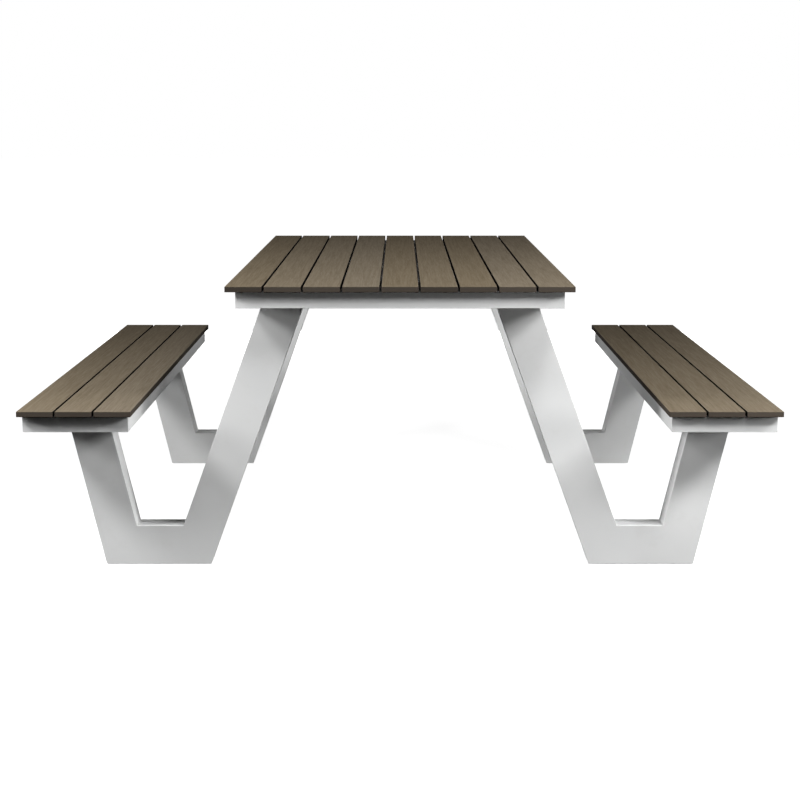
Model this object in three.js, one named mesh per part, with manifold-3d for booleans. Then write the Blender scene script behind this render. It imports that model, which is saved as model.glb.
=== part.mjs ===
// A picnic table with two attached benches, in millimetres, +Z up.
// The slats run along Y, the benches stand at -X (left) and +X (right), and the origin lies on the
// floor under the middle of the table. Four U-shaped leg frames of welded rectangular tube carry the
// table on their inner arms and the benches on their outer arms. Each top is a row of solid
// synthetic-wood slats screwed down to a welded frame of smaller tube.

import * as THREE from "three";
import { mergeVertices } from "three/addons/utils/BufferGeometryUtils.js";
import Module from "manifold-3d";

const wasm = await Module();
wasm.setup();

// Overall sizes
const TOP_LENGTH = 1800;
const OVERALL_WIDTH = 1900;
const TABLE_HEIGHT = 750;
const SEAT_HEIGHT = 440;

// Slats
const SLAT_WIDTH = 91;
const SLAT_THICKNESS = 14;
const SLAT_GAP = 5;
const SLAT_EDGE = 1.5;
const TABLE_SLATS = 9;
const BENCH_SLATS = 3;

// Frames under the slats
const RAIL_HEIGHT = 42;
const RAIL_WIDTH = 25;
const LEG_RAIL_WIDTH = 76;
const RAIL_WALL = 2;
const RAIL_CORNER = 1;
const END_OVERHANG = 24;
const TABLE_SIDE_OVERHANG = 24;
const BENCH_SIDE_OVERHANG = 10;
const MIDDLE_RAIL_Y = 225;

// Leg frames
const LEG_Y = 668;
const TUBE_WIDTH = 102;
const TUBE_DEPTH = 76;
const TUBE_WALL = 3;
const TUBE_CORNER = 0.8;
const FOOT_INNER_X = 494;
const FOOT_OUTER_X = 768;
const TABLE_ARM_LEAN = THREE.MathUtils.degToRad(20);
const BENCH_ARM_LEAN = THREE.MathUtils.degToRad(13.2);
const WELD_GAP = 0.3;

// Mounting plates on the arms, each bolted up to a leg rail
const PLATE_LENGTH = 160;
const PLATE_THICKNESS = 6;
const PLATE_EMBED = 1;
const BOLT_INSET = 13;
const PLATE_HOLE_RADIUS = 4.5;
const RIVET_NUT_HOLE_RADIUS = 5.5;

// Push-in glides under the feet
const GLIDE_RADIUS = 20;
const GLIDE_HEIGHT = 3;
const GLIDE_CHAMFER = 1;
const GLIDE_STEM_RADIUS = 5;
const GLIDE_STEM_HEIGHT = 12;
const GLIDE_HOLE_RADIUS = 5.4;
const GLIDE_INSET = 46;

const CORNER_STEPS = 1;
const ROUND_STEPS = 12;
const MERGE_DISTANCE = 1e-3;

// How many times as long as the wall's thickness a drill is, centred on the wall's outer face
const DRILL_OVERSIZE = 3;

const SYNTHETIC_WOOD = { color: 0x6f6657, roughness: 0.7, metalness: 0 };
const POWDER_COAT = { color: 0xc6c8c8, roughness: 0.45, metalness: 0.3 };
const NYLON = { color: 0x2b2b2c, roughness: 0.6, metalness: 0 };

const X = new THREE.Vector3(1, 0, 0);
const Y = new THREE.Vector3(0, 1, 0);
const Z = new THREE.Vector3(0, 0, 1);

function namedMesh(name, geometry, look) {
  const mesh = new THREE.Mesh(geometry, new THREE.MeshStandardMaterial(look));
  mesh.name = name;
  return mesh;
}

// Turns a mesh so that its own X, Y and Z lie along the three directions given.
function turn(mesh, across, up, along) {
  mesh.quaternion.setFromRotationMatrix(new THREE.Matrix4().makeBasis(across, up, along));
  return mesh;
}

function roundedRectangle(width, height, radius) {
  const right = width / 2 - radius;
  const top = height / 2 - radius;
  const quarter = Math.PI / 2;
  const shape = new THREE.Shape();
  shape.absarc(right, -top, radius, -quarter, 0);
  shape.absarc(right, top, radius, 0, quarter);
  shape.absarc(-right, top, radius, quarter, 2 * quarter);
  shape.absarc(-right, -top, radius, 2 * quarter, 3 * quarter);
  shape.closePath();
  return shape;
}

function hollowSection(width, height, wall, corner) {
  const section = roundedRectangle(width, height, corner);
  const right = width / 2 - wall;
  const top = height / 2 - wall;
  const bore = [
    new THREE.Vector2(-right, -top),
    new THREE.Vector2(right, -top),
    new THREE.Vector2(right, top),
    new THREE.Vector2(-right, top),
  ];
  section.holes.push(new THREE.Path(bore));
  return section;
}

// A section drawn along its own +Z. Each end can be cut on a slope: at its own x, the end
// lies slope * x further along.
function beam(section, length, startSlope = 0, endSlope = 0) {
  const geometry = new THREE.ExtrudeGeometry(section, {
    depth: length,
    bevelEnabled: false,
    curveSegments: CORNER_STEPS,
  });
  const position = geometry.getAttribute("position");
  for (let i = 0; i < position.count; i++) {
    const slope = position.getZ(i) < length / 2 ? startSlope : endSlope;
    position.setZ(i, position.getZ(i) + slope * position.getX(i));
  }
  geometry.computeVertexNormals();
  return geometry;
}

function toSolid(geometry) {
  const plain = geometry.index ? geometry.toNonIndexed() : geometry.clone();
  plain.deleteAttribute("normal");
  plain.deleteAttribute("uv");
  const merged = mergeVertices(plain, MERGE_DISTANCE);
  return new wasm.Manifold(
    new wasm.Mesh({
      numProp: 3,
      vertProperties: merged.getAttribute("position").array,
      triVerts: new Uint32Array(merged.index.array),
    }),
  );
}

function toGeometry(solid) {
  const { vertProperties, triVerts } = solid.getMesh();
  const geometry = new THREE.BufferGeometry();
  geometry.setAttribute("position", new THREE.BufferAttribute(vertProperties, 3));
  geometry.setIndex(new THREE.BufferAttribute(triVerts, 1));
  return geometry.toNonIndexed();
}

// An upright round drill, centred on a point.
function drill(radius, height, x, y, z) {
  const geometry = new THREE.CylinderGeometry(radius, radius, height, ROUND_STEPS);
  geometry.rotateX(Math.PI / 2);
  geometry.translate(x, y, z);
  return toSolid(geometry);
}

function slats(prefix, count, middleX, topZ) {
  const group = new THREE.Group();
  const pitch = SLAT_WIDTH + SLAT_GAP;
  const section = roundedRectangle(SLAT_WIDTH, SLAT_THICKNESS, SLAT_EDGE);
  for (let i = 0; i < count; i++) {
    const slat = namedMesh(`${prefix}_slat_${i + 1}`, beam(section, TOP_LENGTH), SYNTHETIC_WOOD);
    turn(slat, X.clone().negate(), Z, Y);
    const x = middleX + (i - (count - 1) / 2) * pitch;
    slat.position.set(x, -TOP_LENGTH / 2, topZ - SLAT_THICKNESS / 2);
    group.add(slat);
  }
  return group;
}

// One side of a welded frame: a tube mitred at 45 degrees at both ends, on the side of the frame
// that faces outward.
function mitredRail(name, outerLength, halfSpan, outward) {
  const along = new THREE.Vector3().crossVectors(outward, Z);
  const trim = WELD_GAP / 2 / Math.sin(Math.PI / 4);
  const length = outerLength - RAIL_WIDTH - 2 * trim;
  const section = hollowSection(RAIL_WIDTH, RAIL_HEIGHT, RAIL_WALL, RAIL_CORNER);
  const rail = namedMesh(name, beam(section, length, -1, 1), POWDER_COAT);
  turn(rail, outward, Z, along);
  rail.position.copy(outward).multiplyScalar(halfSpan - RAIL_WIDTH / 2);
  rail.position.addScaledVector(along, -length / 2);
  return rail;
}

// A tube across the frame, between the inner faces of its side rails.
function crossRail(name, width, span, y, boltXs) {
  const section = hollowSection(width, RAIL_HEIGHT, RAIL_WALL, RAIL_CORNER);
  let geometry = beam(section, span);
  if (boltXs.length > 0) {
    let solid = toSolid(geometry);
    for (const x of boltXs) {
      const hole = new THREE.CylinderGeometry(
        RIVET_NUT_HOLE_RADIUS, RIVET_NUT_HOLE_RADIUS, DRILL_OVERSIZE * RAIL_WALL, ROUND_STEPS,
      );
      hole.translate(0, -RAIL_HEIGHT / 2, x + span / 2);
      solid = solid.subtract(toSolid(hole));
    }
    geometry = toGeometry(solid);
  }
  const rail = turn(namedMesh(name, geometry, POWDER_COAT), Y, Z, X);
  rail.position.set(-span / 2, y, 0);
  return rail;
}

// A welded frame of four mitred rails and four cross rails, centred on its own origin.
// The two wide cross rails lie over the leg frames, are as wide as the mounting plates and take
// their bolts.
function railFrame(prefix, width, boltXs) {
  const frame = new THREE.Group();
  const length = TOP_LENGTH - 2 * END_OVERHANG;
  const span = width - 2 * RAIL_WIDTH;
  frame.add(mitredRail(`${prefix}_front_rail`, width, length / 2, Y.clone().negate()));
  frame.add(mitredRail(`${prefix}_rear_rail`, width, length / 2, Y));
  frame.add(mitredRail(`${prefix}_left_rail`, length, width / 2, X.clone().negate()));
  frame.add(mitredRail(`${prefix}_right_rail`, length, width / 2, X));
  for (const [end, side] of [["front", -1], ["rear", 1]]) {
    frame.add(crossRail(`${prefix}_${end}_leg_rail`, LEG_RAIL_WIDTH, span, side * LEG_Y, boltXs));
    frame.add(crossRail(`${prefix}_${end}_middle_rail`, RAIL_WIDTH, span, side * MIDDLE_RAIL_Y, []));
  }
  return frame;
}

// The leg frame lies in its own XZ plane, on the right-hand side of the table.
// Its foot is level. The table arm leans towards the table, the bench arm leans outward.
const footMiddleZ = GLIDE_HEIGHT + TUBE_WIDTH / 2;
const tableArm = {
  cornerX: FOOT_INNER_X,
  side: -1,
  lean: TABLE_ARM_LEAN,
  topZ: TABLE_HEIGHT - SLAT_THICKNESS - RAIL_HEIGHT,
};
const benchArm = {
  cornerX: FOOT_OUTER_X,
  side: 1,
  lean: BENCH_ARM_LEAN,
  topZ: SEAT_HEIGHT - SLAT_THICKNESS - RAIL_HEIGHT,
};

// The mitre between the foot and an arm halves the angle between them.
function mitreAngle(arm) {
  return (Math.PI / 2 + arm.lean) / 2;
}

// Where the middle lines of the foot and the arm meet.
function mitreMiddleX(arm) {
  return arm.cornerX - arm.side * (TUBE_WIDTH / 2) / Math.tan(mitreAngle(arm));
}

function plateMiddleX(arm) {
  const rise = arm.topZ - PLATE_THICKNESS - footMiddleZ;
  return mitreMiddleX(arm) + arm.side * rise * Math.tan(arm.lean);
}

function boltPoints(arm) {
  const reach = PLATE_LENGTH / 2 - BOLT_INSET;
  return [plateMiddleX(arm) - reach, plateMiddleX(arm) + reach];
}

function armTube(name, arm) {
  const trim = WELD_GAP / 2 / Math.sin(mitreAngle(arm));
  const topZ = arm.topZ - PLATE_THICKNESS + PLATE_EMBED;
  const length = (topZ - footMiddleZ) / Math.cos(arm.lean) - trim;
  const section = hollowSection(TUBE_WIDTH, TUBE_DEPTH, TUBE_WALL, TUBE_CORNER);
  const mitreSlope = -arm.side / Math.tan(mitreAngle(arm));
  const tube = beam(section, length, mitreSlope, arm.side * Math.tan(arm.lean));
  tube.translate(0, 0, trim);
  tube.rotateY(arm.side * arm.lean);
  tube.translate(mitreMiddleX(arm), 0, footMiddleZ);

  const plate = new THREE.BoxGeometry(PLATE_LENGTH, TUBE_DEPTH, PLATE_THICKNESS);
  plate.translate(plateMiddleX(arm), 0, arm.topZ - PLATE_THICKNESS / 2);
  let solid = toSolid(tube).add(toSolid(plate));
  const plateDrill = DRILL_OVERSIZE * PLATE_THICKNESS;
  for (const x of boltPoints(arm)) {
    solid = solid.subtract(drill(PLATE_HOLE_RADIUS, plateDrill, x, 0, arm.topZ));
  }
  return namedMesh(name, toGeometry(solid), POWDER_COAT);
}

const glidePoints = [FOOT_INNER_X + GLIDE_INSET, FOOT_OUTER_X - GLIDE_INSET];

function footTube(name) {
  const slopes = [tableArm, benchArm].map((arm) => 1 / Math.tan(mitreAngle(arm)));
  const trims = [tableArm, benchArm].map((arm) => WELD_GAP / 2 / Math.sin(mitreAngle(arm)));
  const startX = mitreMiddleX(tableArm) + trims[0];
  const length = mitreMiddleX(benchArm) - trims[1] - startX;
  const section = hollowSection(TUBE_WIDTH, TUBE_DEPTH, TUBE_WALL, TUBE_CORNER);
  const tube = beam(section, length, slopes[0], -slopes[1]);
  tube.applyMatrix4(new THREE.Matrix4().makeBasis(Z, Y.clone().negate(), X));
  tube.translate(startX, 0, footMiddleZ);
  let solid = toSolid(tube);
  const glideDrill = DRILL_OVERSIZE * TUBE_WALL;
  for (const x of glidePoints) {
    solid = solid.subtract(drill(GLIDE_HOLE_RADIUS, glideDrill, x, 0, GLIDE_HEIGHT));
  }
  return namedMesh(name, toGeometry(solid), POWDER_COAT);
}

// A round glide with a stem that pushes up into the foot.
function glide(name, x) {
  const profile = [
    new THREE.Vector2(0, 0),
    new THREE.Vector2(GLIDE_RADIUS - GLIDE_CHAMFER, 0),
    new THREE.Vector2(GLIDE_RADIUS, GLIDE_CHAMFER),
    new THREE.Vector2(GLIDE_RADIUS, GLIDE_HEIGHT),
    new THREE.Vector2(GLIDE_STEM_RADIUS, GLIDE_HEIGHT),
    new THREE.Vector2(GLIDE_STEM_RADIUS, GLIDE_HEIGHT + GLIDE_STEM_HEIGHT),
    new THREE.Vector2(0, GLIDE_HEIGHT + GLIDE_STEM_HEIGHT),
  ];
  const geometry = new THREE.LatheGeometry(profile, ROUND_STEPS);
  geometry.rotateX(Math.PI / 2);
  const mesh = namedMesh(name, geometry, NYLON);
  mesh.position.x = x;
  return mesh;
}

function legFrame(prefix) {
  const frame = new THREE.Group();
  frame.add(armTube(`${prefix}_table_arm`, tableArm));
  frame.add(footTube(`${prefix}_foot_tube`));
  frame.add(armTube(`${prefix}_bench_arm`, benchArm));
  frame.add(glide(`${prefix}_inner_glide`, glidePoints[0]));
  frame.add(glide(`${prefix}_outer_glide`, glidePoints[1]));
  return frame;
}

function slatRowWidth(count) {
  return count * SLAT_WIDTH + (count - 1) * SLAT_GAP;
}

const tableWidth = slatRowWidth(TABLE_SLATS);
const benchWidth = slatRowWidth(BENCH_SLATS);
const benchX = (OVERALL_WIDTH - benchWidth) / 2;
const tableBolts = boltPoints(tableArm);
const benchBolts = boltPoints(benchArm);

const picnicTable = new THREE.Group();

const tableFrame = railFrame(
  "table",
  tableWidth - 2 * TABLE_SIDE_OVERHANG,
  [...tableBolts, ...tableBolts.map((x) => -x)],
);
tableFrame.position.z = TABLE_HEIGHT - SLAT_THICKNESS - RAIL_HEIGHT / 2;
picnicTable.add(slats("table", TABLE_SLATS, 0, TABLE_HEIGHT), tableFrame);

for (const [name, side] of [["left_bench", -1], ["right_bench", 1]]) {
  const benchFrame = railFrame(
    name,
    benchWidth - 2 * BENCH_SIDE_OVERHANG,
    benchBolts.map((x) => side * (x - benchX)),
  );
  benchFrame.position.set(side * benchX, 0, SEAT_HEIGHT - SLAT_THICKNESS - RAIL_HEIGHT / 2);
  picnicTable.add(slats(name, BENCH_SLATS, side * benchX, SEAT_HEIGHT), benchFrame);
}

for (const [end, y] of [["front", -LEG_Y], ["rear", LEG_Y]]) {
  for (const [side, angle] of [["left", Math.PI], ["right", 0]]) {
    const frame = legFrame(`${end}_${side}`);
    frame.position.y = y;
    frame.rotation.z = angle;
    picnicTable.add(frame);
  }
}

export default picnicTable;
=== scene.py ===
"""The looks of a slatted picnic table with attached benches, in metres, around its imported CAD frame.

The slats are synthetic wood, the frames and leg frames are powder-coated aluminium tube, the bolts
and screws are stainless steel, and the glides under the feet are black nylon.
"""
import math
import random

import bmesh
import bpy
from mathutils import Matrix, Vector


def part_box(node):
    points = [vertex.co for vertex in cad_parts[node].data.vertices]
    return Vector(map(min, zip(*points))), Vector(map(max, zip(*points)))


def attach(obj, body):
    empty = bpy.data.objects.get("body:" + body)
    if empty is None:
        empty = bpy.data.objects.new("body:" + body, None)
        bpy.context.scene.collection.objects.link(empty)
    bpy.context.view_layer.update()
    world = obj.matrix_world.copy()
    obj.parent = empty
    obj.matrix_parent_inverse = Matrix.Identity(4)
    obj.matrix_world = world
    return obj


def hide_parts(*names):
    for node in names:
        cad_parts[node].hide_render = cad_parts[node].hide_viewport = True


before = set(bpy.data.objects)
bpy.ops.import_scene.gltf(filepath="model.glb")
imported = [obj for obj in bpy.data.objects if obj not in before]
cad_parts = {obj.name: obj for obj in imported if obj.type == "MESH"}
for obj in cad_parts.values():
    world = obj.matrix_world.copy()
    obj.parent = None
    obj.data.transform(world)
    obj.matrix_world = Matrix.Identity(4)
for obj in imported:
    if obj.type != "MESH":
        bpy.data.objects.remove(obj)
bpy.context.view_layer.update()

SEED = 11
random.seed(SEED)

MM = 0.001
BODY = "root"


def box_size(node):
    low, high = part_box(node)
    return high - low


# The foot lies along X, so its box gives the section of the leg tube
TUBE_WIDTH = box_size("front_left_foot_tube").z
TUBE_DEPTH = box_size("front_left_foot_tube").y
RAIL_WIDTH = box_size("table_front_middle_rail").y

# Sizes that the frame's boxes don't give
RAIL_CORNER = 1.0 * MM
TUBE_CORNER = 0.8 * MM
PLATE_LENGTH = 160 * MM
PLATE_THICKNESS = 6 * MM
BOLT_INSET = 13 * MM
WELD_GAP = 0.3 * MM
TABLE_ARM_LEAN = math.radians(20)
BENCH_ARM_LEAN = math.radians(13.2)

ENDS = ("front", "rear")
SIDES = ("left", "right")
ARMS = ("table", "bench")
TOPS = ("table", "left_bench", "right_bench")
FRAME_SIDES = ("front", "rear", "left", "right")
CROSS_RAILS = ("leg", "middle")

X = Vector((1, 0, 0))
Y = Vector((0, 1, 0))
Z = Vector((0, 0, 1))


# ---------------------------------------------------------------- materials


class Surface:
    """A Principled material whose nodes are added by short calls."""

    def __init__(self, name):
        self.material = bpy.data.materials.new(name)
        self.material.use_nodes = True
        self.tree = self.material.node_tree
        self.shader = self.tree.nodes["Principled BSDF"]

    def set(self, node, socket, value):
        target = node.inputs[socket]
        if isinstance(value, bpy.types.NodeSocket):
            self.tree.links.new(value, target)
        else:
            target.default_value = value

    def node(self, kind, settings=(), **inputs):
        made = self.tree.nodes.new("ShaderNode" + kind)
        for key, value in dict(settings).items():
            setattr(made, key, value)
        for key, value in inputs.items():
            self.set(made, key.replace("_", " "), value)
        return made

    def math(self, operation, a, b=0.0):
        made = self.tree.nodes.new("ShaderNodeMath")
        made.operation = operation
        self.set(made, 0, a)
        self.set(made, 1, b)
        return made.outputs[0]

    def ramp(self, value, low, high, to_low=0.0, to_high=1.0):
        """value taken smoothly from low..high to to_low..to_high."""
        made = self.node("MapRange", {"interpolation_type": "SMOOTHSTEP"}, Value=value)
        made.inputs["From Min"].default_value = low
        made.inputs["From Max"].default_value = high
        made.inputs["To Min"].default_value = to_low
        made.inputs["To Max"].default_value = to_high
        return made.outputs[0]

    def mix(self, factor, a, b, blend="MIX"):
        made = self.tree.nodes.new("ShaderNodeMix")
        made.data_type = "RGBA"
        made.blend_type = blend
        self.set(made, 0, factor)
        self.set(made, 6, a)
        self.set(made, 7, b)
        return made.outputs[2]

    def noise(self, vector, scale, detail=3.0, roughness=0.5):
        made = self.node("TexNoise", Vector=vector, Scale=scale, Detail=detail, Roughness=roughness)
        return made.outputs["Fac"]

    def attribute(self, name, output="Fac"):
        return self.node("Attribute", {"attribute_name": name}).outputs[output]

    def stretched(self, vector, scale):
        made = self.node("Mapping", Vector=vector)
        made.inputs["Scale"].default_value = scale
        return made.outputs["Vector"]

    def bump(self, height, strength, distance, normal=None):
        made = self.node("Bump", Height=height, Strength=strength, Distance=distance)
        if normal is not None:
            self.set(made, "Normal", normal)
        return made.outputs["Normal"]

    def finish(self, **inputs):
        for key, value in inputs.items():
            self.set(self.shader, key.replace("_", " "), value)
        return self.material


def edge_distance(surface):
    """Distance in metres to the nearest long edge, from the place stored on the mesh.

    "place" is the vector from the piece's middle line, and "reach" is the sum of its half sizes.
    """
    parts = surface.node("SeparateXYZ", Vector=surface.attribute("place", "Vector"))
    across = surface.math("ABSOLUTE", parts.outputs["X"])
    up = surface.math("ABSOLUTE", parts.outputs["Z"])
    left = surface.math("SUBTRACT", surface.attribute("reach"), across)
    return surface.math("SUBTRACT", left, up)


# How far a slat's tone moves its grain, so that no two slats are alike
GRAIN_SHIFT_ACROSS = 7.3
GRAIN_SHIFT_ALONG = 31.0

# Makes a second tone, for the sides and ends of a slat, from the slat's own
SECOND_TONE = 17.0

WOOD_DARK = (0.109, 0.087, 0.058, 1)
WOOD_MIDDLE = (0.146, 0.119, 0.083, 1)
WOOD_LIGHT = (0.205, 0.172, 0.129, 1)
WOOD_WORN = (0.25, 0.220, 0.178, 1)
# Sides and ends: their own darker skin, made darker still as painted shade
WOOD_SIDE_DARK = (0.038, 0.031, 0.025, 1)
WOOD_SIDE_LIGHT = (0.062, 0.051, 0.041, 1)
# Painted shade: near black for the sides that face a gap, where little light gets in
WOOD_GAP_SHADE = (0.0050, 0.0040, 0.0030, 1)


def synthetic_wood():
    """Taupe plastic lumber with a tone of its own per slat.

    The top and underside are brushed, with a fine lengthwise grain. The sides and the sawn ends are
    darker, partly their own skin and partly painted shade. The sides that face a gap, with their
    rounded edges, are painted nearly black as shade.
    """
    s = Surface("synthetic_wood")
    place = s.attribute("place", "Vector")
    tone = s.attribute("tone")
    shifted = s.node("VectorMath", {"operation": "ADD"})
    s.set(shifted, 0, place)
    across = s.math("MULTIPLY", tone, GRAIN_SHIFT_ACROSS)
    along = s.math("MULTIPLY", tone, GRAIN_SHIFT_ALONG)
    s.set(shifted, 1, s.node("CombineXYZ", X=across, Y=along).outputs[0])
    where = shifted.outputs[0]

    fibres = s.noise(s.stretched(where, (620, 13, 620)), 1.0, 6.0, 0.62)
    streaks = s.noise(s.stretched(where, (150, 3.5, 150)), 1.0, 4.0, 0.55)
    mottle = s.noise(s.stretched(where, (46, 26, 46)), 1.0, 4.0, 0.6)
    specks = s.noise(s.stretched(where, (900, 420, 900)), 1.0, 2.0, 0.5)

    colour = s.mix(s.ramp(streaks, 0.30, 0.70), WOOD_DARK, WOOD_MIDDLE)
    colour = s.mix(s.ramp(fibres, 0.42, 0.78, 0.0, 0.60), colour, WOOD_LIGHT)
    colour = s.mix(s.ramp(mottle, 0.35, 0.75, 0.0, 0.40), colour, WOOD_MIDDLE)
    colour = s.mix(s.ramp(specks, 0.58, 0.72, 0.0, 0.35), colour, WOOD_DARK)
    tint = s.node("HueSaturation", Color=colour)
    s.set(tint, "Value", s.ramp(tone, 0.0, 1.0, 0.95, 1.05))
    s.set(tint, "Saturation", s.ramp(tone, 0.0, 1.0, 1.08, 0.92))

    edge = edge_distance(s)
    wear_noise = s.noise(s.stretched(where, (160, 40, 160)), 1.0, 3.0, 0.6)
    near_edge = s.ramp(edge, 0.4 * MM, 2.6 * MM, 1.0, 0.0)
    wear = s.math("MULTIPLY", near_edge, s.ramp(wear_noise, 0.35, 0.70, 0.05, 0.45))
    colour = s.mix(wear, tint.outputs[0], WOOD_WORN)

    facing = s.node("SeparateXYZ", Vector=s.node("TexCoord").outputs["Normal"]).outputs["Z"]
    level = s.math("ABSOLUTE", facing)
    # Sides and ends take a darker colour than the top and underside: partly their skin, partly painted
    # shade
    side_skin_and_shade = s.node("HueSaturation", Color=s.mix(fibres, WOOD_SIDE_DARK, WOOD_SIDE_LIGHT))
    second_tone = s.math("FRACT", s.math("MULTIPLY", tone, SECOND_TONE))
    s.set(side_skin_and_shade, "Value", s.ramp(second_tone, 0.0, 1.0, 0.85, 1.30))
    colour = s.mix(s.ramp(level, 0.20, 0.80, 1.0, 0.0), colour, side_skin_and_shade.outputs[0])
    # Painted shade: the sides facing a gap, with their rounded edges, go nearly black
    painted_gap_shade = s.math("MULTIPLY", s.attribute("in_gap"), s.ramp(level, 0.72, 0.99, 1.0, 0.0))
    colour = s.mix(painted_gap_shade, colour, WOOD_GAP_SHADE)

    roughness = s.ramp(fibres, 0.30, 0.75, 0.86, 0.72)
    height = s.math("ADD", s.math("MULTIPLY", fibres, 0.7), s.math("MULTIPLY", specks, 0.3))
    normal = s.bump(height, 0.50, 0.0003)
    normal = s.bump(streaks, 0.20, 0.0005, normal)
    return s.finish(
        Base_Color=colour, Roughness=roughness, Normal=normal, Specular_IOR_Level=0.06,
    )


PAINT_DARK = (0.745, 0.752, 0.750, 1)
PAINT_LIGHT = (0.785, 0.790, 0.786, 1)
PAINT_WORN = (0.81, 0.81, 0.80, 1)
DUST = (0.62, 0.61, 0.59, 1)


def powder_coat():
    """Light grey satin powder coat: orange peel, faint dust, and wear along the edges.

    It is a little rougher beside the mitres, where the welds were ground off.
    """
    s = Surface("powder_coat")
    place = s.node("TexCoord").outputs["Object"]
    clouds = s.noise(place, 3.1, 3.0, 0.5)
    dust = s.noise(place, 22.0, 5.0, 0.62)
    peel = s.noise(place, 620.0, 2.0, 0.45)
    grit = s.noise(place, 1900.0, 1.0, 0.5)

    base = s.mix(s.ramp(clouds, 0.35, 0.65), PAINT_DARK, PAINT_LIGHT)
    base = s.mix(s.ramp(dust, 0.52, 0.78, 0.0, 0.16), base, DUST)
    edge = edge_distance(s)
    worn = s.noise(place, 70.0, 4.0, 0.6)
    near_edge = s.ramp(edge, 0.4 * MM, 3.0 * MM, 1.0, 0.0)
    wear = s.math("MULTIPLY", near_edge, s.ramp(worn, 0.40, 0.68, 0.10, 0.65))
    base = s.mix(wear, base, PAINT_WORN)

    near_seam = s.ramp(s.attribute("seam"), 1.5 * MM, 5.5 * MM, 1.0, 0.0)
    ground = s.math("MULTIPLY", near_seam, worn)

    roughness = s.math("ADD", s.ramp(dust, 0.35, 0.75, 0.46, 0.58), s.math("MULTIPLY", wear, -0.05))
    height = s.math("ADD", s.math("MULTIPLY", peel, 0.75), s.math("MULTIPLY", grit, 0.25))
    height = s.math("ADD", height, s.math("MULTIPLY", ground, 0.5))
    normal = s.bump(height, 0.22, 0.00025)
    return s.finish(Base_Color=base, Roughness=roughness, Normal=normal, Specular_IOR_Level=0.45)


# Radians of ripple per metre of bead
RIPPLE_RATE = 1300.0


def painted_weld():
    """The same paint over the ripples of a weld."""
    s = Surface("painted_weld")
    place = s.node("TexCoord").outputs["Object"]
    dust = s.noise(place, 60.0, 4.0, 0.6)
    along = s.node("SeparateXYZ", Vector=s.attribute("place", "Vector")).outputs["Y"]
    uneven = s.math("ADD", along, s.math("MULTIPLY", s.noise(place, 180.0), 0.0025))
    ripple = s.math("ABSOLUTE", s.math("SINE", s.math("MULTIPLY", uneven, RIPPLE_RATE)))
    base = s.mix(s.ramp(dust, 0.40, 0.70), (0.765, 0.770, 0.768, 1), (0.720, 0.723, 0.716, 1))
    roughness = s.ramp(dust, 0.35, 0.75, 0.42, 0.55)
    normal = s.bump(ripple, 0.60, 0.0005)
    return s.finish(Base_Color=base, Roughness=roughness, Normal=normal, Specular_IOR_Level=0.45)


def stainless_steel():
    """Turned stainless steel with fine scratches and a little staining."""
    s = Surface("stainless_steel")
    place = s.node("TexCoord").outputs["Object"]
    scratches = s.noise(s.stretched(place, (2600, 700, 2600)), 1.0, 3.0, 0.6)
    stain = s.noise(place, 260.0, 4.0, 0.6)
    colour = s.mix(s.ramp(stain, 0.45, 0.75), (0.62, 0.61, 0.59, 1), (0.44, 0.42, 0.39, 1))
    roughness = s.ramp(scratches, 0.30, 0.70, 0.24, 0.42)
    normal = s.bump(scratches, 0.15, 0.0001)
    return s.finish(Base_Color=colour, Roughness=roughness, Normal=normal, Metallic=1.0)


def black_nylon():
    """Moulded black nylon with a fine spark texture, paler where it has rubbed."""
    s = Surface("black_nylon")
    place = s.node("TexCoord").outputs["Object"]
    spark = s.noise(place, 1500.0, 2.0, 0.5)
    rub = s.noise(place, 240.0, 5.0, 0.65)
    colour = s.mix(s.ramp(rub, 0.48, 0.75), (0.020, 0.020, 0.021, 1), (0.060, 0.059, 0.057, 1))
    roughness = s.ramp(rub, 0.35, 0.75, 0.46, 0.66)
    normal = s.bump(spark, 0.30, 0.0002)
    return s.finish(Base_Color=colour, Roughness=roughness, Normal=normal)


WOOD = synthetic_wood()
PAINT = powder_coat()
WELD = painted_weld()
STEEL = stainless_steel()
NYLON = black_nylon()


# ---------------------------------------------------------------- meshes

SMOOTH = math.radians(38)


class Shell:
    """Closed shapes gathered into one mesh, with numbers stored at their points.

    "place" is the vector from a bar's middle line, "reach" is the sum of its half sizes, and
    "seam" is the distance to its nearest mitre.
    """

    def __init__(self):
        self.points = []
        self.faces = []
        self.stored = {"place": [], "reach": [], "seam": []}

    def add(self, rings, place=None, reach=0.0, seam=None):
        """Adds a shape made of rings of points, closed with a face at each end."""
        start = len(self.points)
        count = len(rings[0])
        points = [point for ring in rings for point in ring]
        self.points += points
        self.stored["place"] += [place(point) if place else (0, 0, 0) for point in points]
        self.stored["reach"] += [reach] * len(points)
        self.stored["seam"] += [seam(point) if seam else 1.0 for point in points]
        for ring in range(len(rings) - 1):
            low = start + ring * count
            for i in range(count):
                j = (i + 1) % count
                self.faces.append((low + i, low + j, low + count + j, low + count + i))
        last = start + (len(rings) - 1) * count
        self.faces.append(tuple(range(start, start + count)))
        self.faces.append(tuple(range(last, last + count)))

    def mesh(self, name):
        mesh = bpy.data.meshes.new(name)
        mesh.from_pydata(self.points, [], self.faces)
        bm = bmesh.new()
        bm.from_mesh(mesh)
        bmesh.ops.recalc_face_normals(bm, faces=bm.faces)
        bm.to_mesh(mesh)
        bm.free()
        mesh.shade_smooth()
        mesh.set_sharp_from_angle(angle=SMOOTH)
        store(mesh, "place", "FLOAT_VECTOR", self.stored["place"])
        store(mesh, "reach", "FLOAT", self.stored["reach"])
        store(mesh, "seam", "FLOAT", self.stored["seam"])
        return mesh


def store(mesh, name, kind, values):
    """Stores a number or a vector at each point of a mesh."""
    layer = mesh.attributes.new(name, kind, "POINT")
    for cell, value in zip(layer.data, values):
        if kind == "FLOAT_VECTOR":
            cell.vector = value
        else:
            cell.value = value


FLAT_FACE_WEIGHT = 90


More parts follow.
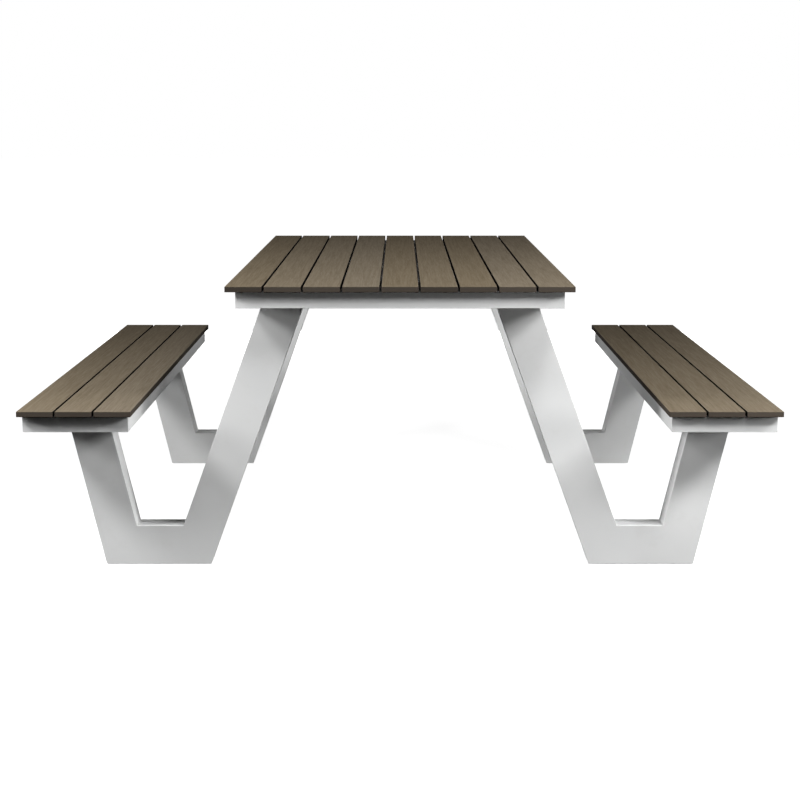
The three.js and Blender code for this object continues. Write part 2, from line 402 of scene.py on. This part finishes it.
def add_piece(name, mesh, material, slot, *nodes):
    """Shows a mesh as a piece of the object, in the place of the CAD nodes named."""
    piece = bpy.data.objects.new(name, mesh)
    bpy.context.scene.collection.objects.link(piece)
    mesh.materials.clear()
    mesh.materials.append(material)
    shading = piece.modifiers.new("weighted_normals", "WEIGHTED_NORMAL")
    shading.keep_sharp = True
    shading.weight = FLAT_FACE_WEIGHT
    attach(piece, BODY)
    if nodes:
        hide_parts(*nodes)
    return piece


# ---------------------------------------------------------------- slats

SLAT_EDGE = 1.2 * MM
SLAT_EDGE_STEPS = 4


def slats_of(top):
    """The slats of a top, from left to right."""
    return sorted(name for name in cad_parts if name.startswith(top + "_slat_"))


def slat(node):
    """A solid bar with rounded edges, the same size as its node."""
    low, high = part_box(node)
    size = high - low
    bm = bmesh.new()
    bmesh.ops.create_cube(bm, size=1.0)
    for vertex in bm.verts:
        share = vertex.co + Vector((0.5, 0.5, 0.5))
        vertex.co = Vector(a + length * t for a, length, t in zip(low, size, share))
    bmesh.ops.bevel(
        bm, geom=bm.edges[:], offset=SLAT_EDGE, segments=SLAT_EDGE_STEPS, profile=0.5,
        affect="EDGES", clamp_overlap=True,
    )
    mesh = bpy.data.meshes.new(node + "_bar")
    bmesh.ops.recalc_face_normals(bm, faces=bm.faces)
    bm.to_mesh(mesh)
    bm.free()
    mesh.shade_smooth()
    middle = (low + high) / 2
    offsets = [vertex.co - middle for vertex in mesh.vertices]
    store(mesh, "place", "FLOAT_VECTOR", offsets)
    store(mesh, "reach", "FLOAT", [(size.x + size.z) / 2] * len(offsets))
    store(mesh, "tone", "FLOAT", [random.random()] * len(offsets))
    row = slats_of(node.split("_slat_")[0])
    faces_gap = (node != row[0], node != row[-1])
    end = size.y / 2 - SLAT_EDGE / 2
    in_gap = [float(faces_gap[offset.x > 0] and abs(offset.y) < end) for offset in offsets]
    store(mesh, "in_gap", "FLOAT", in_gap)
    return add_piece(node + "_bar", mesh, WOOD, "slats", node)


# ---------------------------------------------------------------- tubes

CORNER_STEPS = 4


def rounded_outline(width, height, corner):
    """Points of a rounded rectangle, as (across, up) from its middle."""
    points = []
    for quarter, (side, top) in enumerate(((1, 1), (-1, 1), (-1, -1), (1, -1))):
        for step in range(CORNER_STEPS + 1):
            angle = (quarter + step / CORNER_STEPS) * math.pi / 2
            x = side * (width / 2 - corner) + corner * math.cos(angle)
            z = top * (height / 2 - corner) + corner * math.sin(angle)
            points.append((x, z))
    return points


def meet(point, along, plane):
    """Where the line through a point along a direction meets a plane, given as (point, normal)."""
    on_plane, normal = plane
    return point + along * ((on_plane - point).dot(normal) / along.dot(normal))


class Bar:
    """The directions and size of a straight tube."""

    def __init__(self, middle, across, up, width, height, corner):
        self.middle = middle
        self.across = across
        self.up = up
        self.along = up.cross(across)
        self.width = width
        self.height = height
        self.corner = corner

    def ring(self, plane):
        """The tube's outline where a plane cuts it."""
        outline = rounded_outline(self.width, self.height, self.corner)
        lines = [self.middle + self.across * x + self.up * z for x, z in outline]
        return [meet(point, self.along, plane) for point in lines]

    def place(self, point):
        offset = point - self.middle
        return (offset.dot(self.across), offset.dot(self.along), offset.dot(self.up))

    def add_to(self, shell, cuts, mitres=()):
        """Adds the tube between its first and last cuts to a shell."""

        def seam(point):
            return min((abs((point - at).dot(normal)) for at, normal in mitres), default=1.0)

        rings = [self.ring(cut) for cut in cuts]
        shell.add(rings, self.place, (self.width + self.height) / 2, seam)


def rail_bar(node):
    low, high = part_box(node)
    size = high - low
    runs_along_y = size.y > size.x
    across = X if runs_along_y else Y
    width = size.x if runs_along_y else size.y
    return Bar((low + high) / 2, across, Z, width, size.z, RAIL_CORNER)


def cross_rail(node):
    low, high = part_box(node)
    shell = Shell()
    rail_bar(node).add_to(shell, [(low, X), (high, X)])
    add_piece(node + "_painted", shell.mesh(node + "_tube"), PAINT, "frame", node)


def frame_outline(top):
    """The outer corners of the mitred frame under a top."""
    low = Vector((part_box(top + "_left_rail")[0].x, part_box(top + "_front_rail")[0].y, 0))
    high = Vector((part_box(top + "_right_rail")[1].x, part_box(top + "_rear_rail")[1].y, 0))
    return low, high


def mitred_rail(top, name):
    """A side of the frame under a top, meeting its neighbours exactly at 45 degrees."""
    node = f"{top}_{name}_rail"
    low, high = frame_outline(top)
    corners = {
        "front": (low, Vector((high.x, low.y, 0))),
        "rear": (Vector((low.x, high.y, 0)), high),
        "left": (low, Vector((low.x, high.y, 0))),
        "right": (Vector((high.x, low.y, 0)), high),
    }[name]
    middle = (low + high) / 2
    mitres = []
    for corner in corners:
        inward_x = 1 if corner.x < middle.x else -1
        inward_y = 1 if corner.y < middle.y else -1
        mitres.append((corner, Vector((inward_y, -inward_x, 0)).normalized()))
    bar = rail_bar(node)
    shell = Shell()
    bar.add_to(shell, [mitres[0], (bar.middle, bar.along), mitres[1]], mitres)
    add_piece(node + "_painted", shell.mesh(node + "_tube"), PAINT, "frame", node)


# Leg frames. Each arm stands at one end of the foot: -1 is the end at lower x, 1 the other.


def foot_end(arm, side):
    outward = 1 if side == "right" else -1
    return outward if arm == "bench" else -outward


def arm_lean(arm):
    return BENCH_ARM_LEAN if arm == "bench" else TABLE_ARM_LEAN


def arm_mitre(end, side, arm):
    """The plane where an arm meets the foot."""
    low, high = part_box(f"{end}_{side}_foot_tube")
    which = foot_end(arm, side)
    angle = (math.pi / 2 + arm_lean(arm)) / 2
    trim = WELD_GAP / 2 / math.sin(angle)
    x = high.x + trim if which > 0 else low.x - trim
    corner = Vector((x, (low.y + high.y) / 2, low.z))
    return corner, Vector((math.sin(angle), 0, which * math.cos(angle)))


def plate_middle(end, side, arm):
    """The middle of the top face of an arm's mounting plate."""
    low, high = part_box(f"{end}_{side}_{arm}_arm")
    half = PLATE_LENGTH / 2
    x = high.x - half if foot_end(arm, side) > 0 else low.x + half
    return Vector((x, (low.y + high.y) / 2, high.z))


PLATE_CORNER = 3 * MM
PLATE_RIM = 0.5 * MM


def add_plate(shell, top_middle):
    """A flat plate with rounded corners and softened rims."""
    rings = []
    for depth, inset in ((0, PLATE_RIM), (PLATE_RIM, 0), (PLATE_THICKNESS - PLATE_RIM, 0),
                         (PLATE_THICKNESS, PLATE_RIM)):
        outline = rounded_outline(
            PLATE_LENGTH - 2 * inset, TUBE_DEPTH - 2 * inset, PLATE_CORNER - inset
        )
        rings.append([top_middle + Vector((x, y, -depth)) for x, y in outline])
    middle = top_middle - Vector((0, 0, PLATE_THICKNESS / 2))
    reach = (TUBE_DEPTH + PLATE_THICKNESS) / 2
    shell.add(rings, lambda point: ((point - middle).y, (point - middle).x, (point - middle).z), reach)


def arm_bar(end, side, arm):
    lean = foot_end(arm, side) * arm_lean(arm)
    across = Vector((math.cos(lean), 0, -math.sin(lean)))
    middle = plate_middle(end, side, arm) - PLATE_THICKNESS * Z
    return Bar(middle, across, Y, TUBE_WIDTH, TUBE_DEPTH, TUBE_CORNER)


def arm_piece(end, side, arm):
    node = f"{end}_{side}_{arm}_arm"
    bar = arm_bar(end, side, arm)
    mitre = arm_mitre(end, side, arm)
    shell = Shell()
    bar.add_to(shell, [mitre, (bar.middle, Z)], [mitre])
    add_plate(shell, plate_middle(end, side, arm))
    add_piece(node + "_painted", shell.mesh(node + "_tube"), PAINT, "frame", node)


def foot_piece(end, side):
    node = f"{end}_{side}_foot_tube"
    low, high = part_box(node)
    middle = (low + high) / 2
    mitres = [arm_mitre(end, side, arm) for arm in ARMS]
    bar = Bar(middle, Z, Y, TUBE_WIDTH, TUBE_DEPTH, TUBE_CORNER)
    shell = Shell()
    bar.add_to(shell, [mitres[0], (middle, X), mitres[1]], mitres)
    add_piece(node + "_painted", shell.mesh(node + "_tube"), PAINT, "frame", node)


# ---------------------------------------------------------------- welds

BEAD_STEP = 3.5 * MM
BEAD_SIDES = 8
BEAD_TAPER = 0.55
BEAD_THINNEST = 0.93
BEAD_THICKEST = 1.06
LEG_BEAD_INSET = 4 * MM
LEG_BEAD = 3.0 * MM
INNER_BEAD = 2.0 * MM
RAIL_BEAD = 2.4 * MM


def add_bead(shell, start, end, radius):
    """A straight weld bead with slightly uneven sides and rounded ends."""
    along = (end - start).normalized()
    across = along.orthogonal().normalized()
    up = along.cross(across)
    steps = max(3, round((end - start).length / BEAD_STEP))
    rings = []
    for step in range(steps + 1):
        at_end = step in (0, steps)
        share = BEAD_TAPER if at_end else random.uniform(BEAD_THINNEST, BEAD_THICKEST)
        middle = start.lerp(end, step / steps)
        ring = []
        for side in range(BEAD_SIDES):
            angle = 2 * math.pi * side / BEAD_SIDES
            outward = across * math.cos(angle) + up * math.sin(angle)
            ring.append(middle + outward * (radius * share))
        rings.append(ring)
    shell.add(rings, lambda point: (0, (point - start).dot(along), 0))


def leg_welds(end, side):
    """Beads under the ears of the mounting plates and in the inner corners of the foot."""
    shell = Shell()
    half = (TUBE_DEPTH / 2 - LEG_BEAD_INSET) * Y
    foot_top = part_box(f"{end}_{side}_foot_tube")[1].z
    for arm in ARMS:
        bar = arm_bar(end, side, arm)
        half_cut = X * (TUBE_WIDTH / 2 / math.cos(arm_lean(arm)))
        for middle in (bar.middle - half_cut, bar.middle + half_cut):
            add_bead(shell, middle - half, middle + half, LEG_BEAD)
        corner, normal = arm_mitre(end, side, arm)
        inner = meet(Vector((corner.x, corner.y, foot_top)), X, (corner, normal))
        add_bead(shell, inner - half, inner + half, INNER_BEAD)
    add_piece(f"{end}_{side}_leg_welds", shell.mesh(f"{end}_{side}_leg_welds"), WELD, "frame")


def rail_welds(top):
    """Upright beads where the rails of a frame meet."""
    shell = Shell()
    low, high = frame_outline(top)
    inset = Vector((RAIL_WIDTH, RAIL_WIDTH, 0))
    inner_low, inner_high = low + inset, high - inset
    rail_low, rail_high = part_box(top + "_front_rail")
    spots = [(x, y) for x in (inner_low.x, inner_high.x) for y in (inner_low.y, inner_high.y)]
    for end in ENDS:
        for kind in CROSS_RAILS:
            cross_low, cross_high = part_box(f"{top}_{end}_{kind}_rail")
            spots += [(x, y) for x in (cross_low.x, cross_high.x) for y in (cross_low.y, cross_high.y)]
    for x, y in spots:
        bottom = Vector((x, y, rail_low.z + RAIL_BEAD))
        top_end = Vector((x, y, rail_high.z - RAIL_BEAD))
        add_bead(shell, bottom, top_end, RAIL_BEAD)
    add_piece(top + "_frame_welds", shell.mesh(top + "_frame_welds"), WELD, "frame")


# ---------------------------------------------------------------- bolts, screws and glides

HEX_TURN = math.pi / 3


def circle(radius, height):
    return lambda angle: (radius, height)


def hexagon(apothem, height, face=None, slope=0.0):
    """A six-sided ring. Beyond the radius of its flat face, it falls away at a slope."""

    def at(angle):
        radius = apothem / math.cos((angle + HEX_TURN / 2) % HEX_TURN - HEX_TURN / 2)
        drop = 0.0 if face is None else (radius - face) * slope
        return radius, height - drop

    return at


def add_turned(shell, middle, rings, steps):
    """Adds rings of (radius, height) around an upright line, with heights counted downward."""
    made = []
    for ring in rings:
        points = []
        for step in range(steps):
            angle = 2 * math.pi * step / steps
            radius, height = ring(angle)
            offset = Vector((radius * math.cos(angle), radius * math.sin(angle), -height))
            points.append(middle + offset)
        made.append(points)
    shell.add(made)


WASHER_RADIUS = 8 * MM
WASHER_THICKNESS = 1.6 * MM
WASHER_RIM = 0.2 * MM
HEAD_APOTHEM = 6.5 * MM
HEAD_HEIGHT = 5.3 * MM
HEAD_FACE = 6.2 * MM
HEAD_DISH = 0.8 * HEAD_FACE
HEAD_DISH_DEPTH = 0.1 * MM
HEAD_SLOPE = math.tan(math.radians(30))
ROUND_STEPS = 36


def add_bolt(shell, seat):
    """A washer and a chamfered hexagon head that hang below a point."""
    washer = [
        circle(WASHER_RADIUS - WASHER_RIM, 0),
        circle(WASHER_RADIUS, WASHER_RIM),
        circle(WASHER_RADIUS, WASHER_THICKNESS - WASHER_RIM),
        circle(WASHER_RADIUS - WASHER_RIM, WASHER_THICKNESS),
    ]
    add_turned(shell, seat, washer, ROUND_STEPS)
    bottom = WASHER_THICKNESS + HEAD_HEIGHT
    head = [
        hexagon(HEAD_APOTHEM, WASHER_THICKNESS),
        hexagon(HEAD_APOTHEM, bottom, HEAD_FACE, HEAD_SLOPE),
        circle(HEAD_FACE, bottom),
        circle(HEAD_DISH, bottom - HEAD_DISH_DEPTH),
    ]
    add_turned(shell, seat, head, ROUND_STEPS)


def bolts(end, side):
    shell = Shell()
    reach = PLATE_LENGTH / 2 - BOLT_INSET
    for arm in ARMS:
        under = plate_middle(end, side, arm) - PLATE_THICKNESS * Z
        for offset in (-reach, reach):
            add_bolt(shell, under + offset * X)
    add_piece(f"{end}_{side}_bolts", shell.mesh(f"{end}_{side}_bolts"), STEEL, "fasteners")


SCREW_STEPS = 18
SCREW_CLEAR = 6 * MM

# A pan head with a hexagon socket, from its seat down and back up into the socket
SCREW_HEAD = [
    circle(4.4 * MM, 0),
    circle(4.5 * MM, 0.5 * MM),
    circle(4.1 * MM, 1.5 * MM),
    circle(3.2 * MM, 2.3 * MM),
    circle(2.4 * MM, 2.6 * MM),
    hexagon(1.5 * MM, 2.55 * MM),
    hexagon(1.4 * MM, 1.0 * MM),
]


def plate_covers(x, y):
    """Whether a mounting plate covers this spot under a frame."""
    for end in ENDS:
        for side in SIDES:
            for arm in ARMS:
                offset = plate_middle(end, side, arm) - Vector((x, y, 0))
                if abs(offset.x) < PLATE_LENGTH / 2 + SCREW_CLEAR and abs(offset.y) < TUBE_DEPTH / 2:
                    return True
    return False


def screws(top):
    """Pan-head screws that come up through the cross rails into the slats, beside the plates."""
    shell = Shell()
    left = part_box(top + "_left_rail")
    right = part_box(top + "_right_rail")
    across = [(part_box(name)[0].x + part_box(name)[1].x) / 2 for name in slats_of(top)]
    across[0] = (left[0].x + left[1].x) / 2
    across[-1] = (right[0].x + right[1].x) / 2
    for end in ENDS:
        for kind in CROSS_RAILS:
            low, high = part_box(f"{top}_{end}_{kind}_rail")
            y = (low.y + high.y) / 2
            for x in across:
                if not plate_covers(x, y):
                    add_turned(shell, Vector((x, y, low.z)), SCREW_HEAD, SCREW_STEPS)
    add_piece(top + "_slat_screws", shell.mesh(top + "_slat_screws"), STEEL, "fasteners")


GLIDE_STEPS = 64
STEM_RADIUS = 5.0 * MM
STEM_LENGTH = 12 * MM
GLIDE_RIM = 0.4 * MM
FLOOR_RIM = 0.9 * MM


def glide(node):
    """A round disc with softened rims and a stem inside the foot."""
    low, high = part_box(node)
    top = Vector(((low.x + high.x) / 2, (low.y + high.y) / 2, high.z))
    height = high.z - low.z
    radius = (high.x - low.x) / 2
    rings = [
        circle(STEM_RADIUS - GLIDE_RIM, 0),
        circle(STEM_RADIUS, GLIDE_RIM),
        circle(STEM_RADIUS, STEM_LENGTH),
        circle(radius - GLIDE_RIM, STEM_LENGTH),
        circle(radius, STEM_LENGTH + GLIDE_RIM),
        circle(radius, height - FLOOR_RIM),
        circle(radius - FLOOR_RIM / 3, height - FLOOR_RIM / 3),
        circle(radius - FLOOR_RIM, height),
    ]
    shell = Shell()
    add_turned(shell, top, rings, GLIDE_STEPS)
    add_piece(node + "_disc", shell.mesh(node + "_disc"), NYLON, "glides", node)


# ---------------------------------------------------------------- build

for node in sorted(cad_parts):
    if "_slat_" in node:
        slat(node)
    elif node.endswith(("_leg_rail", "_middle_rail")):
        cross_rail(node)
    elif node.endswith("_glide"):
        glide(node)

for top in TOPS:
    for name in FRAME_SIDES:
        mitred_rail(top, name)
    rail_welds(top)
    screws(top)

for end in ENDS:
    for side in SIDES:
        for arm in ARMS:
            arm_piece(end, side, arm)
        foot_piece(end, side)
        leg_welds(end, side)
        bolts(end, side)


# ---------------------------------------------------------------- floor, light and camera

FLOOR_SIZE = 80.0
FLOOR_GLOW = 0.86
GLOW_RISES_FROM = 1.5
GLOW_FULL_AT = 4.5
LIT_POINT = Vector((0.0, -0.7, 0.5))


def pale_floor():
    """A white studio floor whose glow keeps shadows on it faint, and grows with distance."""
    s = Surface("pale_floor")
    place = s.node("TexCoord").outputs["Object"]
    cloud = s.noise(place, 0.8, 3.0, 0.5)
    colour = s.mix(cloud, (0.50, 0.50, 0.50, 1), (0.53, 0.53, 0.53, 1))
    distance = s.node("VectorMath", {"operation": "LENGTH"})
    s.set(distance, 0, place)
    glow = s.ramp(distance.outputs["Value"], GLOW_RISES_FROM, GLOW_FULL_AT, FLOOR_GLOW, 1.0)
    return s.finish(
        Base_Color=colour, Roughness=0.95, Specular_IOR_Level=0.0,
        Emission_Color=(1, 1, 1, 1), Emission_Strength=glow,
    )


def add_floor():
    mesh = bpy.data.meshes.new("studio_floor")
    half = FLOOR_SIZE / 2
    corners = [(-half, -half, 0), (half, -half, 0), (half, half, 0), (-half, half, 0)]
    mesh.from_pydata(corners, [], [(0, 1, 2, 3)])
    mesh.materials.append(pale_floor())
    floor = bpy.data.objects.new("studio_floor", mesh)
    floor.visible_diffuse = False
    floor.visible_glossy = False
    bpy.context.scene.collection.objects.link(floor)


SOFTBOX_DISTANCE = 2.6
SOFTBOX_SIZE = (0.55, 0.4)
REAR_DISTANCE = 5.0
REAR_SIZE = (3.0, 0.8)


def add_softbox(name, azimuth, elevation, power, distance=SOFTBOX_DISTANCE, size=SOFTBOX_SIZE):
    """A soft light turned to the front end of the table, with angles in degrees and power in watts.

    Azimuth 0 is in front and 90 is at +X.
    """
    turn, rise = math.radians(azimuth), math.radians(elevation)
    away = Vector((math.sin(turn) * math.cos(rise), -math.cos(turn) * math.cos(rise), math.sin(rise)))
    light = bpy.data.lights.new(name, "AREA")
    light.shape = "RECTANGLE"
    light.size, light.size_y = size
    light.energy = power
    box = bpy.data.objects.new(name, light)
    box.location = LIT_POINT + away * distance
    box.rotation_euler = (-away).to_track_quat("-Z", "Y").to_euler()
    box.visible_camera = False
    bpy.context.scene.collection.objects.link(box)
    return box


def add_lights():
    """Soft lights close by on both sides, hardly any from the front, and a low one at the back."""
    add_softbox("left_low_softbox", -80, 15, 30)
    add_softbox("left_softbox", -70, 30, 40)
    add_softbox("left_front_softbox", -50, 40, 20)
    add_softbox("right_low_softbox", 70, 5, 15)
    add_softbox("right_softbox", 70, 25, 40)
    add_softbox("right_front_softbox", 50, 30, 30)
    add_softbox("right_high_softbox", 50, 60, 30)
    rear = add_softbox("rear_softbox", 180, -2, 80, REAR_DISTANCE, REAR_SIZE)
    rear.visible_glossy = False


LENS = 79.14
SENSOR_WIDTH = 36.0
CAMERA_PLACE = (0.0, -5.185, 1.172)
CAMERA_TILT = math.radians(80.69)


def add_camera():
    """A camera on the table's middle line, in front of it and a little above, turned slightly down."""
    camera = bpy.data.cameras.new("camera")
    camera.lens = LENS
    camera.sensor_width = SENSOR_WIDTH
    holder = bpy.data.objects.new("camera", camera)
    holder.location = CAMERA_PLACE
    holder.rotation_euler = (CAMERA_TILT, 0.0, 0.0)
    bpy.context.scene.collection.objects.link(holder)
    bpy.context.scene.camera = holder


AMBIENT_ABOVE = 0.035
AMBIENT_BELOW = 0.006
HORIZON_BLUR = 0.05


def add_world():
    """A backdrop that looks white and lights the object very little, least of all from below."""
    world = bpy.data.worlds.new("studio")
    world.use_nodes = True
    nodes, links = world.node_tree.nodes, world.node_tree.links
    direction = nodes.new("ShaderNodeSeparateXYZ")
    links.new(nodes.new("ShaderNodeTexCoord").outputs["Generated"], direction.inputs[0])
    ambient = nodes.new("ShaderNodeMapRange")
    links.new(direction.outputs["Z"], ambient.inputs["Value"])
    ambient.inputs["From Min"].default_value = -HORIZON_BLUR
    ambient.inputs["From Max"].default_value = HORIZON_BLUR
    ambient.inputs["To Min"].default_value = AMBIENT_BELOW
    ambient.inputs["To Max"].default_value = AMBIENT_ABOVE
    strength = nodes.new("ShaderNodeMapRange")
    links.new(nodes.new("ShaderNodeLightPath").outputs["Is Camera Ray"], strength.inputs["Value"])
    links.new(ambient.outputs[0], strength.inputs["To Min"])
    strength.inputs["To Max"].default_value = 1.0
    background = nodes["Background"]
    background.inputs["Color"].default_value = (1, 1, 1, 1)
    links.new(strength.outputs[0], background.inputs["Strength"])
    bpy.context.scene.world = world


add_world()
bpy.context.scene.view_settings.view_transform = "Standard"
add_floor()
add_lights()
add_camera()
